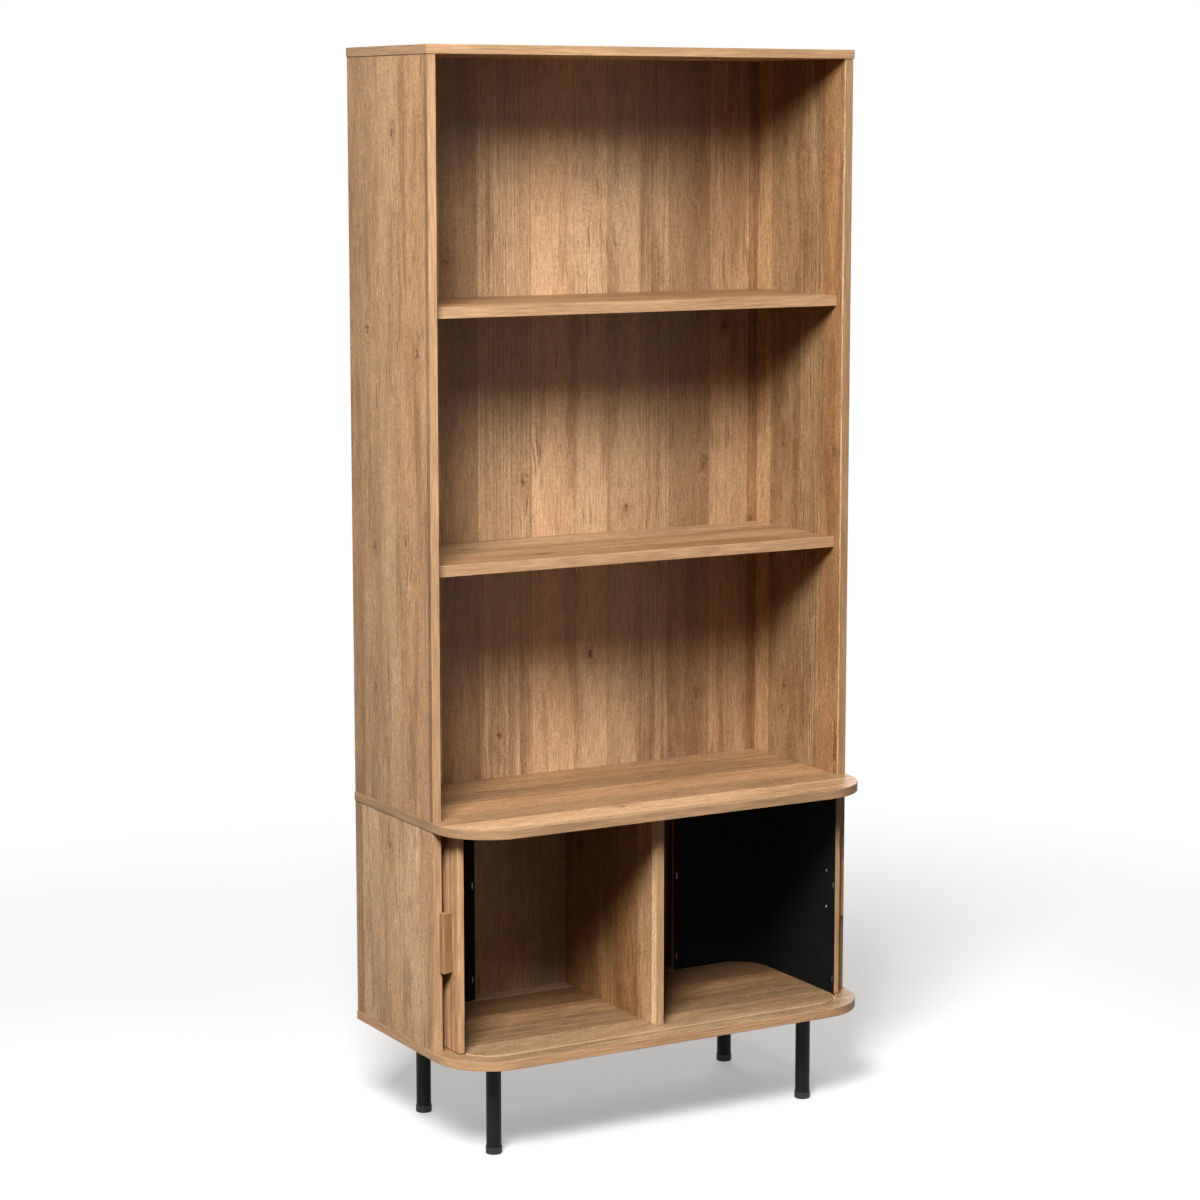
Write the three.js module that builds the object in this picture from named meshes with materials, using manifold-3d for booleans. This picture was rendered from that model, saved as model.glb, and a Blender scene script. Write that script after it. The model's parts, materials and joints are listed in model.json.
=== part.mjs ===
import * as THREE from 'three';
import { mergeVertices } from 'three/addons/utils/BufferGeometryUtils.js';
import Module from 'manifold-3d';

// A tall open bookcase on a low cabinet whose two doors are curtains of upright slats.
// Each curtain runs in a groove round the cabinet's corners, and is shown pushed back out of the way.
// Lengths are in millimetres. X runs from left to right, Y from front to back and Z up from the floor.
// The origin is on the floor under the middle of the cabinet.

const wasm = await Module();
wasm.setup();

// Sizes of the whole
const width = 800;
const cabinetDepth = 395;
const caseBehindTurn = 5;
const legHeight = 163;
const cabinetOpening = 365;
const bayHeight = 394;
const shelfCount = 2;

// Boards and panels
const boardThickness = 15;
const sideThickness = 15;
const shelfThickness = 18;
const dividerThickness = 15;
const backThickness = 4;
const boardOverhang = 1.5;
const cornerRadius = 100;
const shelfSetback = 20;
const dividerSetback = 60;
const backInset = 16;
const backSlotDepth = 6;
const fitClearance = 0.3;
const cutOverrun = 5;

// Door curtains
const turnJoints = 6;
const backRunSlats = 7;
const curtainInset = 41;
const curtainBackInset = 49;
const slatThickness = 11;
const slatGap = 0.4;
const slatBevel = 1.5;
const leadSlatWidth = 18;
const curtainClearance = 1.5;
const trackWidth = 5;
const trackDepth = 5;
const tongueThickness = 4;
const tongueReach = 4;
const trackRunOut = 18;

// Handles
const handleHeight = 100;
const handleReach = 19;
const handleFootWidth = 9;
const handleGripWidth = 14.5;
const handleBevel = 1.5;
const handleStopGap = 0.6;

// Legs
const legDiameter = 25;
const legWall = 1.5;
const legSideInset = 98;
const legFrontInset = 84;
const legBackInset = 55;
const plateSize = 60;
const plateThickness = 2.5;
const plateHoleInset = 9;
const plateHoleDiameter = 5;
const capWall = 0.8;
const capHeight = 12;
const capSole = 3;
const capBevel = 1;

// Fineness of round forms
const cornerSteps = 16;
const roundSteps = 32;
const holeSteps = 12;

// Heights and places that follow
const bottomTop = legHeight + boardThickness;
const cabinetTopUnder = bottomTop + cabinetOpening;
const cabinetTop = cabinetTopUnder + boardThickness;
const topUnder = cabinetTop + (shelfCount + 1) * bayHeight + shelfCount * shelfThickness;
const front = -cabinetDepth / 2;
const back = cabinetDepth / 2;
const sideOuter = width / 2 - boardOverhang;
const sideInner = sideOuter - sideThickness;
const backFace = back - backInset - backThickness;

// The curtain bends about its backing, which is its inner face
const turnStep = Math.PI / 2 / turnJoints;
const hingeRadius = cornerRadius - curtainInset;
const pitch = 2 * hingeRadius * Math.tan(turnStep / 2);
const sideRunSlats = Math.floor((cabinetDepth - cornerRadius - hingeRadius - curtainBackInset) / pitch);
const slatsInTurn = turnJoints - 1;
const slidingSlats = sideRunSlats - slatsInTurn;
const turnCentreX = width / 2 - cornerRadius;
const frontTurnY = front + cornerRadius;
const rearTurnY = frontTurnY + sideRunSlats * pitch;
const caseFront = frontTurnY + caseBehindTurn;
const curtainBottom = bottomTop + curtainClearance;
const curtainHeight = cabinetOpening - 2 * curtainClearance;
const trackInnerRadius = hingeRadius + (slatThickness - trackWidth) / 2;
const trackOuterRadius = trackInnerRadius + trackWidth;

const oak = { color: 0xb98f66, roughness: 0.6, metalness: 0 };
const oakSlat = { color: 0xc49a6e, roughness: 0.6, metalness: 0 };
const blackSteel = { color: 0x17171a, roughness: 0.45, metalness: 0.6 };
const blackPlastic = { color: 0x141414, roughness: 0.6, metalness: 0 };

const bookcase = new THREE.Group();

function addPiece(name, geometry, look, parent = bookcase) {
  const mesh = new THREE.Mesh(geometry, new THREE.MeshStandardMaterial(look));
  mesh.name = name;
  parent.add(mesh);
  return mesh;
}

function toSolid(geometry) {
  const bare = geometry.index ? geometry.toNonIndexed() : geometry.clone();
  bare.deleteAttribute('normal');
  bare.deleteAttribute('uv');
  const merged = mergeVertices(bare);
  return new wasm.Manifold(new wasm.Mesh({
    numProp: 3,
    vertProperties: new Float32Array(merged.attributes.position.array),
    triVerts: new Uint32Array(merged.index.array)
  }));
}

function toGeometry(solid) {
  const mesh = solid.getMesh();
  const geometry = new THREE.BufferGeometry();
  geometry.setAttribute('position', new THREE.BufferAttribute(new Float32Array(mesh.vertProperties), mesh.numProp));
  geometry.setIndex(new THREE.BufferAttribute(new Uint32Array(mesh.triVerts), 1));
  geometry.computeVertexNormals();
  return geometry;
}

// A block between two opposite corners
function block([x0, y0, z0], [x1, y1, z1]) {
  const geometry = new THREE.BoxGeometry(x1 - x0, y1 - y0, z1 - z0);
  geometry.translate((x0 + x1) / 2, (y0 + y1) / 2, (z0 + z1) / 2);
  return geometry;
}

// A flat outline raised from one height to another
function prism(shape, low, high, curveSegments = cornerSteps) {
  const geometry = new THREE.ExtrudeGeometry(shape, { depth: high - low, bevelEnabled: false, curveSegments });
  geometry.translate(0, 0, low);
  return geometry;
}

function cylinder(diameter, low, high, x, y, steps) {
  const geometry = new THREE.CylinderGeometry(diameter / 2, diameter / 2, high - low, steps);
  geometry.rotateX(Math.PI / 2);
  geometry.translate(x, y, (low + high) / 2);
  return geometry;
}

// The cabinet's boards: square at the back, round at the two front corners
function cabinetOutline() {
  const shape = new THREE.Shape();
  shape.moveTo(width / 2, back);
  shape.lineTo(-width / 2, back);
  shape.lineTo(-width / 2, frontTurnY);
  shape.absarc(-turnCentreX, frontTurnY, cornerRadius, Math.PI, 1.5 * Math.PI);
  shape.absarc(turnCentreX, frontTurnY, cornerRadius, 1.5 * Math.PI, 2 * Math.PI);
  shape.closePath();
  return shape;
}

// The track: one groove along the back run, round the rear corner, along the side, and on across the front
function trackOutline() {
  const runOutX = turnCentreX - (backRunSlats - 0.5) * pitch - trackRunOut;
  const shape = new THREE.Shape();
  shape.moveTo(-runOutX, rearTurnY + trackOuterRadius);
  shape.absarc(-turnCentreX, rearTurnY, trackOuterRadius, Math.PI / 2, Math.PI);
  shape.absarc(-turnCentreX, frontTurnY, trackOuterRadius, Math.PI, 1.5 * Math.PI);
  shape.absarc(turnCentreX, frontTurnY, trackOuterRadius, 1.5 * Math.PI, 2 * Math.PI);
  shape.absarc(turnCentreX, rearTurnY, trackOuterRadius, 0, Math.PI / 2);
  shape.lineTo(runOutX, rearTurnY + trackOuterRadius);
  shape.lineTo(runOutX, rearTurnY + trackInnerRadius);
  shape.absarc(turnCentreX, rearTurnY, trackInnerRadius, Math.PI / 2, 0, true);
  shape.absarc(turnCentreX, frontTurnY, trackInnerRadius, 2 * Math.PI, 1.5 * Math.PI, true);
  shape.absarc(-turnCentreX, frontTurnY, trackInnerRadius, 1.5 * Math.PI, Math.PI, true);
  shape.absarc(-turnCentreX, rearTurnY, trackInnerRadius, Math.PI, Math.PI / 2, true);
  shape.lineTo(-runOutX, rearTurnY + trackInnerRadius);
  shape.closePath();
  return shape;
}

function cabinetBoard(name, low, trackLow, trackHigh) {
  const board = toSolid(prism(cabinetOutline(), low, low + boardThickness));
  const track = toSolid(prism(trackOutline(), trackLow, trackHigh));
  addPiece(name, toGeometry(board.subtract(track)), oak);
}

// A side panel, with the upright slot that takes the back panel
function sidePanel(name, side, low, high) {
  const panel = toSolid(block([sideInner, caseFront, low], [sideOuter, back, high]));
  const slot = toSolid(block(
    [sideInner - cutOverrun, backFace - fitClearance, low - cutOverrun],
    [sideInner + backSlotDepth, backFace + backThickness + fitClearance, high + cutOverrun]
  ));
  const cut = panel.subtract(slot);
  const placed = side > 0 ? cut : cut.mirror([1, 0, 0]);
  addPiece(name, toGeometry(placed), oak);
}

function backPanel(name, low, high) {
  const reach = sideInner + backSlotDepth - fitClearance;
  addPiece(name, block([-reach, backFace, low], [reach, backFace + backThickness, high]), oak);
}

function upperCase() {
  const topReach = width / 2;
  addPiece('top_board', block(
    [-topReach, caseFront - boardOverhang, topUnder],
    [topReach, back, topUnder + boardThickness]
  ), oak);
  sidePanel('upper_left_side', -1, cabinetTop, topUnder);
  sidePanel('upper_right_side', 1, cabinetTop, topUnder);
  backPanel('upper_back_panel', cabinetTop, topUnder);
  for (let i = 0; i < shelfCount; i++) {
    const low = cabinetTop + (i + 1) * bayHeight + i * shelfThickness;
    addPiece(`shelf_${i + 1}`, block(
      [-sideInner, caseFront + shelfSetback, low],
      [sideInner, backFace, low + shelfThickness]
    ), oak);
  }
}

function cabinet() {
  cabinetBoard('bottom_board', legHeight, bottomTop - trackDepth, bottomTop + cutOverrun);
  cabinetBoard('cabinet_top_board', cabinetTopUnder, cabinetTopUnder - cutOverrun, cabinetTopUnder + trackDepth);
  sidePanel('lower_left_side', -1, bottomTop, cabinetTopUnder);
  sidePanel('lower_right_side', 1, bottomTop, cabinetTopUnder);
  backPanel('lower_back_panel', bottomTop, cabinetTopUnder);
  addPiece('divider', block(
    [-dividerThickness / 2, front + dividerSetback, bottomTop],
    [dividerThickness / 2, backFace, cabinetTopUnder]
  ), oak);
}

// A row of joined slats seen from above: backing at x = 0, faces outwards along x, middle of the row at y = 0
function slatRowOutline(widths) {
  const length = widths.reduce((sum, each) => sum + each, 0);
  const low = -length / 2;
  const shape = new THREE.Shape();
  shape.moveTo(0, low + slatGap / 2);
  shape.lineTo(slatThickness - slatBevel, low + slatGap / 2);
  let start = low;
  widths.forEach((each, i) => {
    const end = start + each;
    const lowEdge = i === 0 ? start + slatGap / 2 : start;
    const highEdge = i === widths.length - 1 ? end - slatGap / 2 : end;
    shape.lineTo(slatThickness, lowEdge + slatBevel);
    shape.lineTo(slatThickness, highEdge - slatBevel);
    shape.lineTo(slatThickness - slatBevel, highEdge);
    start = end;
  });
  shape.lineTo(0, -low - slatGap / 2);
  shape.closePath();
  return shape;
}

function slatRow(widths) {
  return prism(slatRowOutline(widths), 0, curtainHeight);
}

// The slats that only ever slide along the side carry tongues, which run in both tracks
function slatRowWithTongues(widths) {
  const row = toSolid(slatRow(widths));
  const x0 = (slatThickness - tongueThickness) / 2;
  const half = (widths.length - 1) * pitch / 2;
  const x1 = x0 + tongueThickness;
  const reach = curtainClearance + tongueReach;
  const low = toSolid(block([x0, -half, -reach], [x1, half, reach]));
  const high = toSolid(block([x0, -half, curtainHeight - reach], [x1, half, curtainHeight + reach]));
  return toGeometry(row.add(low).add(high));
}

// Places a slat row by how far along the straight side it lies and how far round the rear turn it has gone
function placeRow(mesh, side, x, y, turned) {
  mesh.position.set(side * x, y, curtainBottom);
  mesh.rotation.z = side > 0 ? turned : Math.PI - turned;
}

// The handle seen from above, with its foot at x = 0 and its screws at y = 0.
// Its leading side is undercut, and its other side stops against the side panel.
function handleOutline(side) {
  const rear = caseFront - handleStopGap - frontTurnY;
  const shape = new THREE.Shape();
  shape.moveTo(0, side * rear);
  shape.lineTo(handleReach - handleBevel, side * rear);
  shape.lineTo(handleReach, side * (rear - handleBevel));
  shape.lineTo(handleReach, side * (rear - handleGripWidth + handleBevel));
  shape.lineTo(handleReach - handleBevel, side * (rear - handleGripWidth));
  shape.lineTo(0, side * (rear - handleFootWidth));
  shape.closePath();
  return shape;
}

function door(prefix, side) {
  const curtain = new THREE.Group();
  curtain.name = `${prefix}_door`;
  bookcase.add(curtain);
  const straightX = turnCentreX + hingeRadius;
  const firstJointY = frontTurnY + pitch / 2;

  const leadWidths = side > 0 ? [leadSlatWidth, pitch] : [pitch, leadSlatWidth];
  const lead = addPiece(`${prefix}_slats_1_2`, slatRow(leadWidths), oakSlat, curtain);
  placeRow(lead, side, straightX, firstJointY - (leadSlatWidth + pitch) / 2, 0);

  const handle = addPiece(`${prefix}_handle`, prism(handleOutline(side), 0, handleHeight), oakSlat, curtain);
  placeRow(handle, side, straightX + slatThickness, frontTurnY, 0);
  handle.position.z = curtainBottom + (curtainHeight - handleHeight) / 2;

  let number = 3;
  let y = firstJointY;
  for (let i = 0; i < slatsInTurn; i++, number++) {
    const slat = addPiece(`${prefix}_slat_${number}`, slatRow([pitch]), oakSlat, curtain);
    placeRow(slat, side, straightX, y + pitch / 2, 0);
    y += pitch;
  }

  const widths = new Array(slidingSlats).fill(pitch);
  const last = number + slidingSlats - 1;
  const sliding = addPiece(`${prefix}_slats_${number}_${last}`, slatRowWithTongues(widths), oakSlat, curtain);
  placeRow(sliding, side, straightX, y + slidingSlats * pitch / 2, 0);
  y += slidingSlats * pitch;
  number += slidingSlats;

  let x = straightX;
  for (let i = 0; i < slatsInTurn + backRunSlats; i++, number++) {
    const turned = Math.min(i + 1, turnJoints) * turnStep;
    const slat = addPiece(`${prefix}_slat_${number}`, slatRow([pitch]), oakSlat, curtain);
    placeRow(slat, side, x - Math.sin(turned) * pitch / 2, y + Math.cos(turned) * pitch / 2, turned);
    x -= Math.sin(turned) * pitch;
    y += Math.cos(turned) * pitch;
  }
}

// A leg: a tube with a plate welded on its top end, which is screwed to the bottom board
function legGeometry() {
  const half = plateSize / 2;
  const holePlace = half - plateHoleInset;
  const plateUnder = legHeight - plateThickness;
  let leg = toSolid(cylinder(legDiameter, capSole, plateUnder, 0, 0, roundSteps));
  leg = leg.subtract(toSolid(cylinder(
    legDiameter - 2 * legWall, capSole - cutOverrun, plateUnder - legWall, 0, 0, roundSteps
  )));
  let plate = toSolid(block([-half, -half, plateUnder], [half, half, legHeight]));
  for (const x of [-holePlace, holePlace]) {
    for (const y of [-holePlace, holePlace]) {
      const hole = cylinder(plateHoleDiameter, plateUnder - cutOverrun, legHeight + cutOverrun, x, y, holeSteps);
      plate = plate.subtract(toSolid(hole));
    }
  }
  return toGeometry(leg.add(plate));
}

// A cap that slips over the leg's lower end
function capGeometry() {
  const inner = legDiameter / 2 + fitClearance;
  const outer = inner + capWall;
  const profile = [
    [0, 0], [outer - capBevel, 0], [outer, capBevel], [outer, capHeight], [inner, capHeight], [inner, capSole],
    [0, capSole]
  ];
  const geometry = new THREE.LatheGeometry(profile.map(([r, z]) => new THREE.Vector2(r, z)), roundSteps);
  geometry.rotateX(Math.PI / 2);
  return geometry;
}

function legs() {
  const places = [
    ['front_left', -1, front + legFrontInset], ['front_right', 1, front + legFrontInset],
    ['back_left', -1, back - legBackInset], ['back_right', 1, back - legBackInset]
  ];
  for (const [place, side, y] of places) {
    const x = side * (width / 2 - legSideInset);
    addPiece(`leg_${place}`, legGeometry(), blackSteel).position.set(x, y, 0);
    addPiece(`foot_cap_${place}`, capGeometry(), blackPlastic).position.set(x, y, 0);
  }
}

cabinet();
upperCase();
legs();
door('left', -1);
door('right', 1);

export default bookcase;
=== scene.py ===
"""The looks of a bookcase on a cabinet whose two slatted doors slide round its corners.

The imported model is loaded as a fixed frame, and each operator below makes one kind of piece round it.
Lengths are in metres, +X is to the right seen from the front, +Y to the back and +Z up from the floor.
"""

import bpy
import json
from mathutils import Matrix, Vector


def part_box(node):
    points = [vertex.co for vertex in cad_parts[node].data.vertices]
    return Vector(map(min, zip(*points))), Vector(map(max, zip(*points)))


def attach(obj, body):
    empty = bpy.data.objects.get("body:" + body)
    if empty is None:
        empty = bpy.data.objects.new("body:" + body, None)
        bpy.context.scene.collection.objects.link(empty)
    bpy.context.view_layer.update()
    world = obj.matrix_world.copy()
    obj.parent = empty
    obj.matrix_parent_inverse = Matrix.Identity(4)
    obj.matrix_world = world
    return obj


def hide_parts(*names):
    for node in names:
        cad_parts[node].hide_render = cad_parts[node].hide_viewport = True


bl_info = {
    "name": "Slatted Door Bookcase",
    "version": (1, 0, 0),
    "blender": (4, 5, 0),
    "location": "3D View > Sidebar > Bookcase",
    "description": "Finishes a bookcase with sliding slatted doors in oak foil, veneer, cloth and steel",
    "category": "Object",
}

import json
import math
import random

import bpy
from mathutils import Vector

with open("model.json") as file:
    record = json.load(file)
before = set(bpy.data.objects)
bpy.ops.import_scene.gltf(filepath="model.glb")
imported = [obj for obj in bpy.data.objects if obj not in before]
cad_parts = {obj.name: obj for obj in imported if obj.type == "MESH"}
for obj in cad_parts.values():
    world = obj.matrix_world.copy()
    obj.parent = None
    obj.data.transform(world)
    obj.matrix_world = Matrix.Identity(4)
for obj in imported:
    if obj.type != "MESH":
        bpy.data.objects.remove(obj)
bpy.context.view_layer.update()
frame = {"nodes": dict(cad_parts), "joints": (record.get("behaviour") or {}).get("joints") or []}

MM = 0.001

# Two places or heights nearer to each other than this count as the same
NEAR = 0.1 * MM
# A face looks along an axis when its normal's share along it is more than this
FACING = 0.7


# Colours and nodes

def linear(code):
    """Turns an sRGB hex value to the linear colour that Blender works in."""
    channels = [int(code[i:i + 2], 16) / 255 for i in (1, 3, 5)]
    return (*(c / 12.92 if c <= 0.04045 else ((c + 0.055) / 1.055) ** 2.4 for c in channels), 1.0)


def add(tree, kind, inputs=None, stops=None, **settings):
    """Adds a shader node with its settings, its colour stops and its sockets.

    A socket takes a value, another node's socket, or another node, whose first output in use it then reads.
    A Mix node's sockets go by number: 0 is the share, 2 and 3 are numbers, and 6 and 7 are colours.
    """
    node = tree.nodes.new("ShaderNode" + kind)
    for name, value in settings.items():
        setattr(node, name, value)
    if stops:
        elements = node.color_ramp.elements
        for place, colour in stops[2:]:
            elements.new(place)
        for element, (place, colour) in zip(elements, stops):
            element.position = place
            element.color = linear(colour)
    for key, value in (inputs or {}).items():
        if isinstance(value, bpy.types.Node):
            value = next(socket for socket in value.outputs if socket.enabled)
        if isinstance(value, bpy.types.NodeSocket):
            tree.links.new(value, node.inputs[key])
        else:
            node.inputs[key].default_value = value
    return node


def new_material(name):
    """An empty material, its node tree and the place on the object, in metres, that its patterns read."""
    material = bpy.data.materials.new(name)
    material.use_nodes = True
    tree = material.node_tree
    tree.nodes.clear()
    return material, tree, add(tree, "TexCoord").outputs["Object"]


def finished(material, shader):
    """The material with its shader joined to its output."""
    add(material.node_tree, "OutputMaterial", {"Surface": shader})
    return material


# Grain

# How the grain runs: what counts as across it and along it, as weights of X, Y and Z. A folded direction
# mirrors left and right, so that the grain follows a rounded corner on both sides
UPRIGHT = {"across": (1, 1, 0), "along": (0, 0, 1)}
LENGTHWAYS = {"across": (0, 1, 1), "along": (1, 0, 0)}
ROUND_THE_EDGE = {"across": (0, 0, 1), "along": (1, 1, 0), "fold": True}
ROUND_THE_CURTAIN = {"across": (1, -1, 0), "along": (0, 0, 1), "fold": True}
# How far in metres one unit of a piece's own number shifts its grain
SHIFT_ACROSS = 1.37
SHIFT_ALONG = 2.71


def grain_places(tree, place, seed, across, along, fold=False):
    """The place across and along the grain, in metres, shifted by a number that each piece carries."""
    if fold:
        x, y, z = add(tree, "SeparateXYZ", {0: place}).outputs
        place = add(tree, "CombineXYZ", {0: add(tree, "Math", {0: x}, operation="ABSOLUTE"), 1: y, 2: z})
    places = []
    for weights, shift in ((across, SHIFT_ACROSS), (along, SHIFT_ALONG)):
        plain = add(tree, "VectorMath", {0: place, 1: weights}, operation="DOT_PRODUCT").outputs["Value"]
        places.append(add(tree, "Math", {0: seed, 1: shift, 2: plain}, operation="MULTIPLY_ADD"))
    return places


def grain_noise(tree, across, along, per_metre, detail=2.0, roughness=0.5):
    """Noise drawn out along the grain, with so many streaks to a metre across it and along it."""
    point = add(tree, "CombineXYZ", {
        0: add(tree, "Math", {0: across, 1: per_metre[0]}, operation="MULTIPLY"),
        1: add(tree, "Math", {0: along, 1: per_metre[1]}, operation="MULTIPLY")})
    sockets = {"Vector": point, "Scale": 1.0, "Detail": detail, "Roughness": roughness}
    return add(tree, "TexNoise", sockets, noise_dimensions="2D").outputs["Fac"]


def streaks(tree, across, along, per_metre, span, result, detail=2.0, roughness=0.5, ease="LINEAR"):
    """Grain noise whose values within span are spread over result, and held at its ends outside."""
    noise = grain_noise(tree, across, along, per_metre, detail, roughness)
    return add(tree, "MapRange", {
        "Value": noise, "From Min": span[0], "From Max": span[1], "To Min": result[0], "To Max": result[1]},
        interpolation_type=ease)


def pored(tree, wood, pores, depth, roughness, gloss):
    """The shader of a wood whose pores darken it by their share and are sunk in its face."""
    left_light = add(tree, "Math", {0: 1.0, 1: pores}, operation="SUBTRACT")
    wood = add(tree, "Mix", {0: 1.0, 6: wood, 7: left_light}, data_type="RGBA", blend_type="MULTIPLY")
    bump = add(tree, "Bump", {"Strength": 0.4, "Distance": depth, "Height": left_light})
    return add(tree, "BsdfPrincipled", {
        "Base Color": wood, "Roughness": roughness, "Specular IOR Level": gloss, "Normal": bump})


# Oak foil

# Knots come one to a cell of 143 by 333 mm
KNOTS_PER_METRE = (7.0, 3.0)
# This share of the cells has none
CLEAR_CELLS = 0.36
# The one foil is drawn in two sets of colours, greyer and narrower on the lying boards and wider on the
# upright ones, partly painted light for how the lamps fall on tops and on sides
FLAT_TONES_WITH_PAINTED_LIGHT = ((0.1, "#8A6746"), (0.4, "#A57F5A"), (0.62, "#B38B64"), (0.9, "#C9A27A"))
SIDE_TONES_WITH_PAINTED_LIGHT = ((0.1, "#805C39"), (0.4, "#A98159"), (0.62, "#BE966D"), (0.9, "#DAB58D"))
BACK_TONES = ((0.1, "#815F41"), (0.4, "#9A7654"), (0.62, "#AC8763"), (0.9, "#BF9B76"))
FOIL_HEART = "#6C4628"


def knots(tree, across, along):
    """Ragged knots, about 8 mm wide: how far each pulls the grain aside, and how dark the foil is there."""
    ragged = add(tree, "Math", {
        0: grain_noise(tree, across, along, (200, 130)), 1: 12 * MM, 2: across},
        operation="MULTIPLY_ADD")
    point = add(tree, "CombineXYZ", {
        0: add(tree, "Math", {0: ragged, 1: KNOTS_PER_METRE[0]}, operation="MULTIPLY"),
        1: add(tree, "Math", {0: along, 1: KNOTS_PER_METRE[1]}, operation="MULTIPLY")})
    knot = add(tree, "TexVoronoi", {"Vector": point, "Scale": 1.0, "Randomness": 0.9},
               voronoi_dimensions="2D", feature="F1")

    # The pull on the grain, the dark heart and its wide faint halo fade out between two distances from the
    # knot's middle, which are in cells
    distance = knot.outputs["Distance"]
    pull, heart, halo = (
        add(tree, "MapRange", {
            "Value": distance, "From Min": start, "From Max": end, "To Min": most, "To Max": 0.0},
            interpolation_type="SMOOTHSTEP")
        for start, end, most in ((0.0, 0.25, 0.12), (0.012, 0.03, 0.8), (0.0, 0.16, 0.35)))
    offset = add(tree, "VectorMath", {0: knot.outputs["Position"], 1: point}, operation="SUBTRACT")
    aside = add(tree, "SeparateXYZ", {0: offset}).outputs["X"]
    pull = add(tree, "Math", {0: aside, 1: pull}, operation="MULTIPLY")
    draw = add(tree, "SeparateColor", {0: knot.outputs["Color"]}).outputs["Green"]
    shown = add(tree, "Math", {0: draw, 1: CLEAR_CELLS}, operation="GREATER_THAN")
    both = add(tree, "Math", {0: heart, 1: halo}, operation="ADD")
    return pull, add(tree, "Math", {0: both, 1: shown}, operation="MULTIPLY")


def planks(tree, across, plank_width):
    """Planks side by side: each one's draws for its tone, hue and kind, and how dark the joints are."""
    sockets = {"W": across, "Scale": 1 / plank_width, "Randomness": 1.0}
    plank = add(tree, "TexVoronoi", sockets, voronoi_dimensions="1D", feature="F1").outputs["Color"]
    tone, hue, kind = add(tree, "SeparateColor", {0: plank}).outputs
    edge = add(tree, "TexVoronoi", sockets, voronoi_dimensions="1D", feature="DISTANCE_TO_EDGE")
    from_edge = add(tree, "Math", {0: edge.outputs["Distance"], 1: plank_width}, operation="MULTIPLY")
    # A joint is about 1.6 mm wide
    joint = add(tree, "MapRange", {
        "Value": from_edge, "From Min": 0.3 * MM, "From Max": 1.3 * MM, "To Min": 0.38, "To Max": 0.0})
    return tone, hue, kind, joint


def heart_and_cracks(tree, across, along):
    """Dark heart streaks, about 40 by 500 mm, and thin cracks, about 6 by 110 mm, in patches."""
    hearts = streaks(tree, across, along, (24, 2.0), (0.51, 0.66), (0.0, 0.42), detail=4.0, roughness=0.64,
                     ease="SMOOTHSTEP")
    cracks = streaks(tree, across, along, (170, 9.0), (0.62, 0.7), (0.0, 0.7))
    patches = streaks(tree, across, along, (12, 4), (0.52, 0.62), (0.0, 1.0))
    cracks = add(tree, "Math", {0: cracks, 1: patches}, operation="MULTIPLY")
    return add(tree, "Math", {0: hearts, 1: cracks}, operation="MAXIMUM")


def foil_pores(tree, across, bowed, along, plank_kind):
    """How much the pores darken the foil: short in most planks, long and straight in about every fourth."""
    # Pores are 0.3 mm wide on oak, and are drawn 1 to 3 mm wide, which a picture of this size can show
    short = streaks(tree, bowed, along, (400, 34), (0.3, 0.7), (-0.2, 0.26), roughness=0.6)
    flecks = streaks(tree, bowed, along, (380, 170), (0.3, 0.7), (-0.19, 0.17))
    straight = streaks(tree, across, along, (330, 2.0), (0.3, 0.7), (-0.2, 0.25), detail=1.0)
    share = add(tree, "MapRange", {
        "Value": plank_kind, "From Min": 0.7, "From Max": 0.8, "To Min": 0.2, "To Max": 1.0})
    straight = add(tree, "Math", {0: straight, 1: share}, operation="MULTIPLY")
    curved = add(tree, "Math", {0: short, 1: flecks}, operation="ADD")
    return add(tree, "Math", {0: curved, 1: straight}, operation="ADD")


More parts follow.
